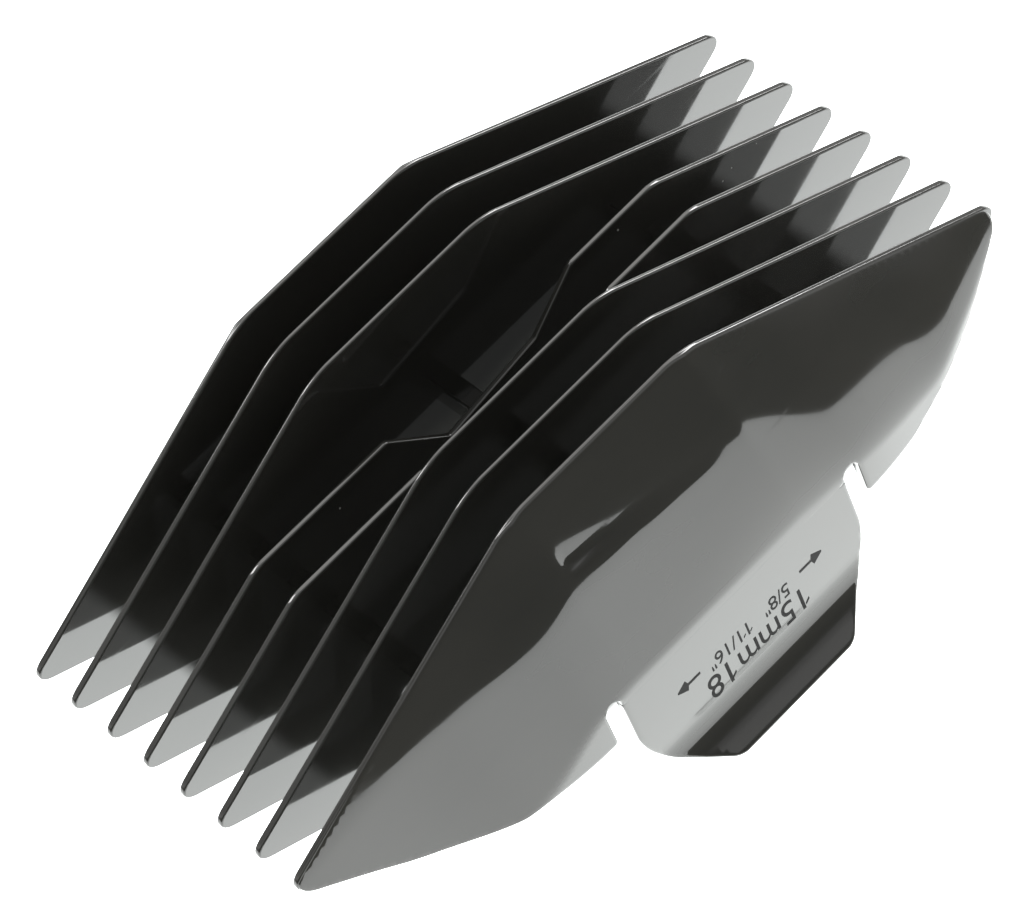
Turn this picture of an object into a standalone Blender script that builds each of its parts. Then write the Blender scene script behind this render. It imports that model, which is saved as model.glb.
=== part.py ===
"""Double-ended clip-on guide comb for a hair clipper, in metres, ridge up, standing on its two grip lips.

The comb is one moulding of gloss plastic.  Each blade, side wall, cross rib, spring tab, catch ridge and
grip lip is a solid of its own here, with a gap of CLEARANCE to its neighbours.  +X runs along the blades
towards the shorter cutting length, +Y to the far side wall and +Z up to the ridge.  The origin is the centre
of the footprint.
"""

import math

import bmesh
import bpy
from mathutils import Vector

CLEARANCE = 0.0003
ARC_STEPS = 5

# Comb blades
PITCH = 0.0054
BLADE_T = 0.0011
INNER_BLADES = 6
RIDGE_LEFT_X = -0.0123
RIDGE_RIGHT_X = 0.0101
NOSE_LEFT = (-0.0479, -0.01745)  # X, and height below the ridge, of the sharp corner before rounding
NOSE_RIGHT = (0.0476, -0.01900)
NOSE_R = 0.0014
SHOULDER_R = 0.0090
HEEL_DEPTH = -0.0265
HEEL_R = 0.0030
HEEL_LEFT_SLOPE = 0.48
HEEL_RIGHT_SLOPE = 0.51
ARCH_DEPTH = -0.0185
ARCH_LEFT_X = -0.0255
ARCH_RIGHT_X = 0.0280
ARCH_DRAFT = 0.0020
EDGE_R = 0.0005

# Lowered crown and pocket of the two middle blades
CROWN_DEPTH = -0.00766
CROWN_LEFT_X = -0.0291
CROWN_RIGHT_X = 0.02545
POCKET_LEFT_X = -0.01085
POCKET_RIGHT_X = 0.0140
POCKET_FOOT_LEFT = (-0.0047, -0.0139)
POCKET_FOOT_RIGHT = (0.0074, -0.0122)
POCKET_R = 0.0009
CROWN_R = 0.0040

# Side walls
WALL_T = 0.0012
WALL_FOOT_DEPTH = -0.0245
WALL_FOOT_LEFT_X = -0.0270
WALL_FOOT_RIGHT_X = 0.0292
WALL_KNEE_LEFT = (-0.0368, -0.0225)
WALL_KNEE_RIGHT = (0.0358, -0.0220)
WALL_KNEE_R = 0.0150
WALL_CORNER_R = 0.0040
WALL_HALF = 0.0284
RIDGE_HALF = (INNER_BLADES + 1) / 2 * PITCH + 0.00025
BOW = [  # X, and half-width of the outer face at the foot
    (-0.0479, RIDGE_HALF),
    (-0.0368, 0.0232),
    (-0.0270, 0.0272),
    (-0.0160, WALL_HALF),
    (0.0180, WALL_HALF),
    (0.0292, 0.0270),
    (0.0358, 0.0250),
    (0.0476, RIDGE_HALF),
]
FLARE_END = 0.78  # share of the wall's depth over which it flares out, at mid length
FLARE_POWER = 1.5  # the higher, the closer to the ridge the flare is
SHOULDER_SLOPE = 1.36  # left of the tab: slope above and below the shoulder, over the mean slope
SKIRT_SLOPE = 0.76
SHOULDER_SHARE = 0.4  # share of the wall's depth at which the slope changes
SHOULDER_BLEND = 0.12
FULL_LEFT_X = -0.0270  # left of this the flare takes the whole depth
FULL_RIGHT_X = -0.0160
FLARE_LEFT_X = -0.0100
FLARE_RIGHT_X = 0.0200
GRID_X = 0.0040
GRID_Z = 0.0030

# Outer blades, each the straight inner leaf of a side wall
OUTER_BLADE_Y = (INNER_BLADES + 1) / 2 * PITCH
OUTER_BLADE_DROP = 0.0036
OUTER_BLADE_LEFT_X = -0.0340
OUTER_BLADE_RIGHT_X = 0.0340

# Spring tabs, cut free of the walls by two slots
TAB_CENTRE_X = 0.0009
TAB_HALF = 0.01505
SLOT_W = 0.00195
HINGE_DEPTH = -0.0192
TAB_STRAIGHT_DEPTH = -0.0265
TAB_TAPER_R = 0.0102
FOLD_DEPTH = -0.03325

# Grip lips and catch ridges
LIP_OUT = 0.0036
LIP_DOWN = 0.00245
LIP_HALF = 0.00775
LIP_ROOT_IN = 0.0004
LIP_WAIST_IN = 0.0020
LIP_WAIST_SHARE = 0.5
LIP_WAIST_R = 0.0060
LIP_CORNER_R = 0.0022
CATCH_DEPTH = -0.0260
CATCH_HALF = 0.0104
CATCH_TALL = 0.0022
CATCH_CREST = 0.0010
CATCH_PROUD = 0.0010

# Cross ribs under the blades
RIB_W = 0.0024
RIB_XS = {"cross_rib_left": -0.0236, "cross_rib_middle": 0.0009, "cross_rib_right": 0.0261}
RIB_FOOT_DEPTH = -0.0220

LIP_LENGTH = math.hypot(LIP_OUT, LIP_DOWN)
RIDGE_Z = -FOLD_DEPTH + LIP_DOWN + WALL_T * LIP_OUT / LIP_LENGTH
PLASTIC = (0.012, 0.012, 0.011, 1.0)


def clear_scene():
    for obj in list(bpy.data.objects):
        bpy.data.objects.remove(obj, do_unlink=True)


def gloss_plastic(name):
    """Black gloss plastic; each node has its own copy."""
    material = bpy.data.materials.new(name)
    material.use_nodes = True
    shader = material.node_tree.nodes["Principled BSDF"]
    shader.inputs["Base Color"].default_value = PLASTIC
    shader.inputs["Roughness"].default_value = 0.12
    shader.inputs["Metallic"].default_value = 0.0
    return material


def add_object(name, bm):
    bmesh.ops.remove_doubles(bm, verts=bm.verts, dist=1e-6)
    bmesh.ops.triangulate(bm, faces=bm.faces)
    bmesh.ops.recalc_face_normals(bm, faces=bm.faces)
    mesh = bpy.data.meshes.new(name)
    bm.to_mesh(mesh)
    bm.free()
    mesh.materials.append(gloss_plastic(name))
    obj = bpy.data.objects.new(name, mesh)
    bpy.context.collection.objects.link(obj)
    return obj


def rounded(corners, steps=ARC_STEPS):
    """Replace each corner (x, z, radius) of a closed outline by an arc tangent to both its sides."""
    outline = []
    for i, (x, z, radius) in enumerate(corners):
        here = Vector((x, z))
        if radius == 0:
            outline.append(here)
            continue
        before = (Vector(corners[i - 1][:2]) - here).normalized()
        after = (Vector(corners[(i + 1) % len(corners)][:2]) - here).normalized()
        half = before.angle(after) / 2
        start = here + before * radius / math.tan(half)
        centre = here + (before + after).normalized() * radius / math.sin(half)
        turn = (start - centre).angle_signed(here + after * radius / math.tan(half) - centre)
        for k in range(steps + 1):
            angle = -turn * k / steps
            spoke = start - centre
            outline.append(centre + Vector((
                spoke.x * math.cos(angle) - spoke.y * math.sin(angle),
                spoke.x * math.sin(angle) + spoke.y * math.cos(angle),
            )))
    return [(p.x, p.y) for p in outline]


def prism(name, outline, y_low, y_high):
    """A plate of the given X-Z outline between two Y planes."""
    bm = bmesh.new()
    face = bm.faces.new([bm.verts.new((x, y_low, z)) for x, z in outline])
    grown = bmesh.ops.extrude_face_region(bm, geom=[face])
    moved = [v for v in grown["geom"] if isinstance(v, bmesh.types.BMVert)]
    bmesh.ops.translate(bm, verts=moved, vec=(0, y_high - y_low, 0))
    return add_object(name, bm)


def blade_underside():
    """Corners from the right nose, under the blade, back to the left nose."""
    heel_right = NOSE_RIGHT[0] - (NOSE_RIGHT[1] - HEEL_DEPTH) / HEEL_RIGHT_SLOPE
    heel_left = NOSE_LEFT[0] + (NOSE_LEFT[1] - HEEL_DEPTH) / HEEL_LEFT_SLOPE
    return [
        (NOSE_RIGHT[0], RIDGE_Z + NOSE_RIGHT[1], NOSE_R),
        (heel_right, RIDGE_Z + HEEL_DEPTH, HEEL_R),
        (ARCH_RIGHT_X + ARCH_DRAFT, RIDGE_Z + HEEL_DEPTH, EDGE_R),
        (ARCH_RIGHT_X, RIDGE_Z + ARCH_DEPTH, 0),
        (ARCH_LEFT_X, RIDGE_Z + ARCH_DEPTH, 0),
        (ARCH_LEFT_X - ARCH_DRAFT, RIDGE_Z + HEEL_DEPTH, EDGE_R),
        (heel_left, RIDGE_Z + HEEL_DEPTH, HEEL_R),
        (NOSE_LEFT[0], RIDGE_Z + NOSE_LEFT[1], NOSE_R),
    ]


def full_blade_outline():
    crown = [(RIDGE_LEFT_X, RIDGE_Z, SHOULDER_R), (RIDGE_RIGHT_X, RIDGE_Z, SHOULDER_R)]
    return rounded(blade_underside() + crown)


def pocket_blade_outline():
    crown = RIDGE_Z + CROWN_DEPTH
    top = [
        (CROWN_LEFT_X, crown, CROWN_R),
        (POCKET_LEFT_X, crown, POCKET_R),
        (POCKET_FOOT_LEFT[0], RIDGE_Z + POCKET_FOOT_LEFT[1], POCKET_R),
        (POCKET_FOOT_RIGHT[0], RIDGE_Z + POCKET_FOOT_RIGHT[1], POCKET_R),
        (POCKET_RIGHT_X, crown, POCKET_R),
        (CROWN_RIGHT_X, crown, CROWN_R),
    ]
    return rounded(blade_underside() + top)


def add_blades():
    for i in range(INNER_BLADES):
        y = (i - (INNER_BLADES - 1) / 2) * PITCH
        middle = i in (INNER_BLADES // 2 - 1, INNER_BLADES // 2)
        outline = pocket_blade_outline() if middle else full_blade_outline()
        prism(f"comb_blade_{i + 1}", outline, y - BLADE_T / 2, y + BLADE_T / 2)


def smooth_through(stations, x):
    """Cubic Hermite curve through the stations, with no overshoot where two neighbours are level."""
    x = min(max(x, stations[0][0]), stations[-1][0])
    slopes = [(b[1] - a[1]) / (b[0] - a[0]) for a, b in zip(stations, stations[1:])]
    tangents = [slopes[0]]
    for a, b in zip(slopes, slopes[1:]):
        tangents.append(0.0 if a * b <= 0 else 2 * a * b / (a + b))
    tangents.append(slopes[-1])
    for i, (a, b) in enumerate(zip(stations, stations[1:])):
        if x <= b[0]:
            span = b[0] - a[0]
            t = (x - a[0]) / span
            return (
                a[1] * (2 * t**3 - 3 * t**2 + 1)
                + b[1] * (3 * t**2 - 2 * t**3)
                + span * (tangents[i] * (t**3 - 2 * t**2 + t) + tangents[i + 1] * (t**3 - t**2))
            )
    return stations[-1][1]


def ridge_depth(x):
    """Depth of the ridge line below its crown."""
    left = (x - RIDGE_LEFT_X) * NOSE_LEFT[1] / (NOSE_LEFT[0] - RIDGE_LEFT_X)
    right = (x - RIDGE_RIGHT_X) * NOSE_RIGHT[1] / (NOSE_RIGHT[0] - RIDGE_RIGHT_X)
    return min(0.0, left, right)


def foot_depth(x):
    """Depth of the side wall's lower edge."""
    stations = [
        NOSE_LEFT,
        WALL_KNEE_LEFT,
        (WALL_FOOT_LEFT_X, WALL_FOOT_DEPTH),
        (WALL_FOOT_RIGHT_X, WALL_FOOT_DEPTH),
        WALL_KNEE_RIGHT,
        NOSE_RIGHT,
    ]
    return smooth_through(stations, x)


def ease(x, low, high):
    """A smooth step from 0 at low to 1 at high."""
    t = min(max((x - low) / (high - low), 0.0), 1.0)
    return t * t * (3 - 2 * t)


def shouldered(share):
    """Share of the flare reached at a share of the wall's depth, left of the tab."""
    bend = (share - SHOULDER_SHARE + SHOULDER_BLEND) / (2 * SHOULDER_BLEND)
    bend = min(max(bend, 0.0), 1.0)
    beyond = max(share - SHOULDER_SHARE - SHOULDER_BLEND, 0.0)
    change = 2 * SHOULDER_BLEND * (bend**3 - bend**4 / 2) + beyond
    return SHOULDER_SLOPE * share - (SHOULDER_SLOPE - SKIRT_SLOPE) * change


def wall_half_width(x, z):
    """Distance of the side wall's outer face from the comb's middle plane."""
    foot = smooth_through(BOW, x)
    fullness = (foot - RIDGE_HALF) / (WALL_HALF - RIDGE_HALF)
    top = ridge_depth(x)
    share = (top - (z - RIDGE_Z)) / max(top - foot_depth(x), 0.001)
    early = fullness if x > 0 else ease(x, FULL_LEFT_X, FULL_RIGHT_X)
    share = min(max(share / (1 - (1 - FLARE_END) * early), 0.0), 1.0)
    bowed = 1 - (1 - share) ** (1 + (FLARE_POWER - 1) * fullness)
    reached = shouldered(share) + (bowed - shouldered(share)) * ease(x, FLARE_LEFT_X, FLARE_RIGHT_X)
    return RIDGE_HALF + (foot - RIDGE_HALF) * reached


def bowed_shell(name, outline, side, half_width):
    """A thin wall whose X-Z outline is laid on the bowed outer face and given its thickness inwards."""
    bm = bmesh.new()
    bm.faces.new([bm.verts.new((x, 0, z)) for x, z in outline])
    lows = [min(p[k] for p in outline) for k in (0, 1)]
    highs = [max(p[k] for p in outline) for k in (0, 1)]
    for axis, step in ((0, GRID_X), (1, GRID_Z)):
        normal = (1, 0, 0) if axis == 0 else (0, 0, 1)
        for k in range(math.ceil(lows[axis] / step), math.floor(highs[axis] / step) + 1):
            point = tuple(k * step * n for n in normal)
            geometry = bm.verts[:] + bm.edges[:] + bm.faces[:]
            bmesh.ops.bisect_plane(bm, geom=geometry, dist=1e-5, plane_co=point, plane_no=normal)
    bmesh.ops.triangulate(bm, faces=bm.faces[:])
    outer = bm.faces[:]
    rim = [e for e in bm.edges if len(e.link_faces) == 1]
    inner_of = {}
    for v in bm.verts[:]:
        half = half_width(v.co.x, v.co.z)
        inner_of[v] = bm.verts.new((v.co.x, side * (half - WALL_T), v.co.z))
        v.co.y = side * half
    for face in outer:
        bm.faces.new([inner_of[v] for v in reversed(face.verts)])
    for edge in rim:
        a, b = edge.verts
        bm.faces.new([a, b, inner_of[b], inner_of[a]])
    return add_object(name, bm)


def add_outer_blades():
    """The straight leaf inside each side wall, up to where the flaring skirt has left it."""
    drop = RIDGE_Z - OUTER_BLADE_DROP
    heel = RIDGE_Z + HEEL_DEPTH
    outline = rounded([
        (OUTER_BLADE_RIGHT_X, heel, EDGE_R),
        *blade_underside()[2:6],
        (OUTER_BLADE_LEFT_X, heel, EDGE_R),
        (OUTER_BLADE_LEFT_X, drop + ridge_depth(OUTER_BLADE_LEFT_X), EDGE_R),
        (RIDGE_LEFT_X, drop, SHOULDER_R),
        (RIDGE_RIGHT_X, drop, SHOULDER_R),
        (OUTER_BLADE_RIGHT_X, drop + ridge_depth(OUTER_BLADE_RIGHT_X), EDGE_R),
    ])
    for label, side in (("near", -1), ("far", 1)):
        y = side * OUTER_BLADE_Y
        prism(f"{label}_outer_blade", outline, y - BLADE_T / 2, y + BLADE_T / 2)


def side_wall_outline():
    """Outline of a side wall, with the notch that leaves room for the spring tab and its two slots."""
    foot = RIDGE_Z + WALL_FOOT_DEPTH
    notch_left = TAB_CENTRE_X - TAB_HALF - SLOT_W
    notch_right = TAB_CENTRE_X + TAB_HALF + SLOT_W
    hinge = RIDGE_Z + HINGE_DEPTH
    return rounded([
        (NOSE_RIGHT[0], RIDGE_Z + NOSE_RIGHT[1], NOSE_R),
        (WALL_KNEE_RIGHT[0], RIDGE_Z + WALL_KNEE_RIGHT[1], WALL_KNEE_R),
        (WALL_FOOT_RIGHT_X, foot, WALL_CORNER_R),
        (notch_right, foot, EDGE_R),
        (notch_right, hinge, SLOT_W / 2),
        (notch_left, hinge, SLOT_W / 2),
        (notch_left, foot, EDGE_R),
        (WALL_FOOT_LEFT_X, foot, WALL_CORNER_R),
        (WALL_KNEE_LEFT[0], RIDGE_Z + WALL_KNEE_LEFT[1], WALL_KNEE_R),
        (NOSE_LEFT[0], RIDGE_Z + NOSE_LEFT[1], NOSE_R),
        (RIDGE_LEFT_X, RIDGE_Z, SHOULDER_R),
        (RIDGE_RIGHT_X, RIDGE_Z, SHOULDER_R),
    ])


def taper_half_width(depth):
    """Half-width of the spring tab below its straight part."""
    run = TAB_STRAIGHT_DEPTH - depth
    return TAB_HALF - TAB_TAPER_R + math.sqrt(TAB_TAPER_R**2 - run**2)


def spring_tab_outline():
    top = RIDGE_Z + HINGE_DEPTH - CLEARANCE
    end_depth = FOLD_DEPTH + CLEARANCE / 2
    steps = 6
    side = [(TAB_HALF, top)]
    for k in range(steps + 1):
        depth = TAB_STRAIGHT_DEPTH + (end_depth - TAB_STRAIGHT_DEPTH) * k / steps
        side.append((taper_half_width(depth), RIDGE_Z + depth))
    right = [(TAB_CENTRE_X + half, z) for half, z in side]
    left = [(TAB_CENTRE_X - half, z) for half, z in reversed(side)]
    return right + left


def add_walls_and_tabs():
    for label, side in (("near", -1), ("far", 1)):
        bowed_shell(f"{label}_side_wall", side_wall_outline(), side, wall_half_width)
        bowed_shell(f"{label}_spring_tab", spring_tab_outline(), side, lambda x, z: WALL_HALF)


def add_lips():
    """Each lip is a tapered plate that leans out from the fold at the foot of its spring tab."""
    root_half = taper_half_width(FOLD_DEPTH) - LIP_ROOT_IN
    along = (LIP_OUT / LIP_LENGTH, -LIP_DOWN / LIP_LENGTH)
    waist_half = root_half - LIP_WAIST_IN
    waist = LIP_LENGTH * LIP_WAIST_SHARE
    outline = rounded([
        (TAB_CENTRE_X - root_half, CLEARANCE, 0),
        (TAB_CENTRE_X + root_half, CLEARANCE, 0),
        (TAB_CENTRE_X + waist_half, waist, LIP_WAIST_R),
        (TAB_CENTRE_X + LIP_HALF, LIP_LENGTH, LIP_CORNER_R),
        (TAB_CENTRE_X - LIP_HALF, LIP_LENGTH, LIP_CORNER_R),
        (TAB_CENTRE_X - waist_half, waist, LIP_WAIST_R),
    ])
    for label, side in (("near", -1), ("far", 1)):
        bm = bmesh.new()
        layers = []
        for below in (0, WALL_T):
            layers.append([
                bm.verts.new((
                    x,
                    side * (WALL_HALF + along[0] * v + along[1] * below),
                    RIDGE_Z + FOLD_DEPTH + along[1] * v - along[0] * below,
                ))
                for x, v in outline
            ])
        bm.faces.new(layers[0])
        bm.faces.new(list(reversed(layers[1])))
        for i in range(len(outline)):
            j = (i + 1) % len(outline)
            bm.faces.new([layers[0][j], layers[0][i], layers[1][i], layers[1][j]])
        add_object(f"{label}_grip_lip", bm)


def extrude_along_x(name, section, x_low, x_high):
    """A bar of the given Y-Z section between two X planes."""
    bm = bmesh.new()
    face = bm.faces.new([bm.verts.new((x_low, y, z)) for y, z in section])
    grown = bmesh.ops.extrude_face_region(bm, geom=[face])
    moved = [v for v in grown["geom"] if isinstance(v, bmesh.types.BMVert)]
    bmesh.ops.translate(bm, verts=moved, vec=(x_high - x_low, 0, 0))
    return add_object(name, bm)


def add_catches():
    """The ridge inside each spring tab that snaps under the clipper's head."""
    back = WALL_HALF - WALL_T - CLEARANCE
    z = RIDGE_Z + CATCH_DEPTH
    for label, side in (("near", -1), ("far", 1)):
        section = [
            (side * back, z - CATCH_TALL / 2),
            (side * (back - CATCH_PROUD), z - CATCH_CREST / 2),
            (side * (back - CATCH_PROUD), z + CATCH_CREST / 2),
            (side * back, z + CATCH_TALL / 2),
        ]
        name = f"{label}_catch_ridge"
        extrude_along_x(name, section, TAB_CENTRE_X - CATCH_HALF, TAB_CENTRE_X + CATCH_HALF)


def add_cross_ribs():
    """Bars across the underside that tie the blades to each other and to the side walls."""
    top = RIDGE_Z + ARCH_DEPTH - CLEARANCE
    foot = RIDGE_Z + RIB_FOOT_DEPTH
    for name, x in RIB_XS.items():
        edges = (x - RIB_W / 2, x + RIB_W / 2)
        reach = min(wall_half_width(edge, top) for edge in edges) - WALL_T - CLEARANCE
        outline = [(edges[0], foot), (edges[1], foot), (edges[1], top), (edges[0], top)]
        prism(name, outline, -reach, reach)


clear_scene()
add_blades()
add_outer_blades()
add_walls_and_tabs()
add_lips()
add_catches()
add_cross_ribs()
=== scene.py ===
import math

import bmesh
import bpy
from mathutils import Matrix, Vector


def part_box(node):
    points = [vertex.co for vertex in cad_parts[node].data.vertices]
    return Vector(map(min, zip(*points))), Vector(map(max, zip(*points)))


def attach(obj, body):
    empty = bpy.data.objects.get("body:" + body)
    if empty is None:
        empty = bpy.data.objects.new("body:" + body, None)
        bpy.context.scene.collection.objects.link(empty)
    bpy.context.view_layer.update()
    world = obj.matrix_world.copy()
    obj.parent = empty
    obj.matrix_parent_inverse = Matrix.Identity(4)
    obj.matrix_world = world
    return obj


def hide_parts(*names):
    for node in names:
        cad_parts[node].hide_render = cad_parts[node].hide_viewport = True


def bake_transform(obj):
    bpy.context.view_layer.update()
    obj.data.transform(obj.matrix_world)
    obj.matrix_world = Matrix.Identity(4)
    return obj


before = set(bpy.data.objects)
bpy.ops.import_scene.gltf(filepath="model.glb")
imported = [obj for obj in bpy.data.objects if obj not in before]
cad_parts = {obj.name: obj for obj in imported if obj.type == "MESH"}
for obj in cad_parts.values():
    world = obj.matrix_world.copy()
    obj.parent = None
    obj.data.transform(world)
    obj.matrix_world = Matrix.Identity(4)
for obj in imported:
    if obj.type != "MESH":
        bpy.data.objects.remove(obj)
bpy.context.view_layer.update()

# ------------------------------------------------------------------------------------------------------------
# Comb blades.  Eight thin plates of gloss black plastic stand in a row; the outer two are the straight leaves
# inside the side walls.  They are moulded in one with the rest, so they are thinner at the ridge than at
# the heel and every edge is rounded.
# ------------------------------------------------------------------------------------------------------------
blade_low, blade_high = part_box("comb_blade_1")
ridge_z = blade_high.z
heel_z = blade_low.z
ridge_t = 0.00052  # thickness at the ridge, where the draft of the mould makes the blade thinnest
heel_t = 0.00095
ridge_left = (-0.0123, ridge_z)
ridge_right = (0.0101, ridge_z)
nose_left = (-0.0484, ridge_z - 0.01770)
nose_right = (0.0480, ridge_z - 0.01920)
underside_left = 0.48  # slope from the nose down to the heel
underside_right = 0.51
heel_left = (nose_left[0] + (nose_left[1] - heel_z) / underside_left, heel_z)
heel_right = (nose_right[0] - (nose_right[1] - heel_z) / underside_right, heel_z)
arch_z = ridge_z - 0.0212
arch_left = -0.0255
arch_right = 0.0280
arch_draft = 0.0020
nose_r = 0.0014
shoulder_r = 0.0090
heel_r = 0.0030
arch_foot_r = 0.0005
arch_r = 0.0008
rim_r = 0.00021  # rounding of the moulding's edges


def deselect():
    """Leave edit mode, if it is on, with no object selected."""
    if bpy.context.mode != "OBJECT":
        bpy.ops.object.mode_set(mode="OBJECT")
    bpy.ops.object.select_all(action="DESELECT")


def open_mesh(obj, mode="VERT"):
    """Start editing obj with nothing selected."""
    deselect()
    obj.select_set(True)
    bpy.context.view_layer.objects.active = obj
    bpy.ops.object.mode_set(mode="EDIT")
    bpy.ops.mesh.select_mode(type=mode)
    bpy.ops.mesh.select_all(action="DESELECT")


def pick(kind, test):
    """Select the verts, edges or faces of the open mesh that pass the test."""
    bpy.ops.mesh.select_mode(type={"verts": "VERT", "edges": "EDGE", "faces": "FACE"}[kind])
    bpy.ops.mesh.select_all(action="DESELECT")
    mesh = bpy.context.object.data
    bm = bmesh.from_edit_mesh(mesh)
    for element in getattr(bm, kind):
        if test(element):
            element.select_set(True)
    bmesh.update_edit_mesh(mesh)


def flat_sheet(name, low, high):
    """A sheet in the X-Z plane between two corners (x, z), open for editing."""
    deselect()
    middle = ((low[0] + high[0]) / 2, 0, (low[1] + high[1]) / 2)
    bpy.ops.mesh.primitive_plane_add(size=1, location=middle, rotation=(math.pi / 2, 0, 0))
    obj = bpy.context.object
    obj.name = obj.data.name = name
    obj.scale = (high[0] - low[0], high[1] - low[1], 1)
    bpy.ops.object.transform_apply(location=True, rotation=True, scale=True)
    open_mesh(obj)
    return obj


def cut(a, b, trim=True):
    """Cut the open sheet along the line from a to b.  With trim, what lies to the left of the line goes."""
    bpy.ops.mesh.select_all(action="SELECT")
    outwards = Vector((a[1] - b[1], 0, b[0] - a[0])).normalized()
    bpy.ops.mesh.bisect(plane_co=(a[0], 0, a[1]), plane_no=outwards, clear_outer=trim, threshold=1e-6)


def drop(test):
    """Delete the faces of the open sheet whose middle passes the test, and make one face of the rest."""
    pick("faces", lambda face: test(face.calc_center_median()))
    bpy.ops.mesh.delete(type="FACE")
    bpy.ops.mesh.select_all(action="SELECT")
    bpy.ops.mesh.dissolve_faces()
    bpy.ops.mesh.select_all(action="SELECT")
    bpy.ops.mesh.dissolve_limited(angle_limit=0.01)


def round_off(corner, radius, segments):
    """Round the corner of the open sheet that is nearest to a point (x, z)."""
    bm = bmesh.from_edit_mesh(bpy.context.object.data)
    spot = Vector((corner[0], 0, corner[1]))
    sharp = min(bm.verts, key=lambda v: (v.co - spot).length)
    a, b = [edge.other_vert(sharp).co - sharp.co for edge in sharp.link_edges]
    reach = radius / math.tan(a.angle(b) / 2)
    pick("verts", lambda v: v == sharp)
    bpy.ops.mesh.bevel(offset=reach, affect="VERTICES", segments=segments, clamp_overlap=False)


def blade_outline(name):
    """The blade's flat outline up to the ridge, with the arch over the clipper's head cut out of its heel."""
    obj = flat_sheet(name, (nose_left[0], heel_z), (nose_right[0], ridge_z))
    cut(nose_left, ridge_left)
    cut(ridge_right, nose_right)
    cut(nose_right, heel_right)
    cut(heel_left, nose_left)
    cut((arch_left - arch_draft, heel_z), (arch_left, arch_z), trim=False)
    cut((arch_right + arch_draft, heel_z), (arch_right, arch_z), trim=False)
    cut((arch_left, arch_z), (arch_right, arch_z), trim=False)
    drop(lambda p: p.z < arch_z and arch_left - arch_draft / 2 < p.x < arch_right + arch_draft / 2)
    for corner, radius, segments in (
        (nose_left, nose_r, 10),
        (nose_right, nose_r, 10),
        (heel_left, heel_r, 6),
        (heel_right, heel_r, 6),
        ((arch_left - arch_draft, heel_z), arch_foot_r, 4),
        ((arch_right + arch_draft, heel_z), arch_foot_r, 4),
        ((arch_left, arch_z), arch_r, 5),
        ((arch_right, arch_z), arch_r, 5),
    ):
        round_off(corner, radius, segments)
    return obj


def thicken_blade(obj):
    """Give the open outline its thickness, the mould's draft and rounded edges, centred on Y."""
    bpy.ops.mesh.select_all(action="SELECT")
    bpy.ops.mesh.extrude_region_move(TRANSFORM_OT_translate={"value": (0, heel_t, 0)})
    bpy.ops.mesh.select_all(action="SELECT")
    bpy.ops.transform.translate(value=(0, -heel_t / 2, 0))
    bpy.ops.mesh.normals_make_consistent(inside=False)
    slope = (heel_t - ridge_t) / 2 / (ridge_z - heel_z)
    for side in (-1, 1):
        face_point = (0, side * heel_t / 2, heel_z)
        face_normal = Vector((0, side, slope)).normalized()
        bpy.ops.mesh.select_all(action="SELECT")
        bpy.ops.mesh.bisect(
            plane_co=face_point, plane_no=face_normal, use_fill=True, clear_outer=True, threshold=1e-6
        )
    pick("edges", lambda e: abs(e.link_faces[0].normal.y) > 0.9 > 0.5 > abs(e.link_faces[1].normal.y)
         or abs(e.link_faces[1].normal.y) > 0.9 > 0.5 > abs(e.link_faces[0].normal.y))
    bpy.ops.mesh.bevel(offset=rim_r, affect="EDGES", segments=4, clamp_overlap=False)
    bpy.ops.mesh.select_all(action="SELECT")
    bpy.ops.mesh.normals_make_consistent(inside=False)
    bpy.ops.object.mode_set(mode="OBJECT")
    smooth(obj)


def smooth(obj):
    """Shade the rounded edges smooth and keep the flat faces flat."""
    deselect()
    obj.select_set(True)
    bpy.context.view_layer.objects.active = obj
    bpy.ops.object.shade_smooth_by_angle(angle=math.radians(45))
    modifier = obj.modifiers.new("flat faces", "WEIGHTED_NORMAL")
    modifier.keep_sharp = True
    bpy.ops.object.modifier_apply(modifier=modifier.name)


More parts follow.
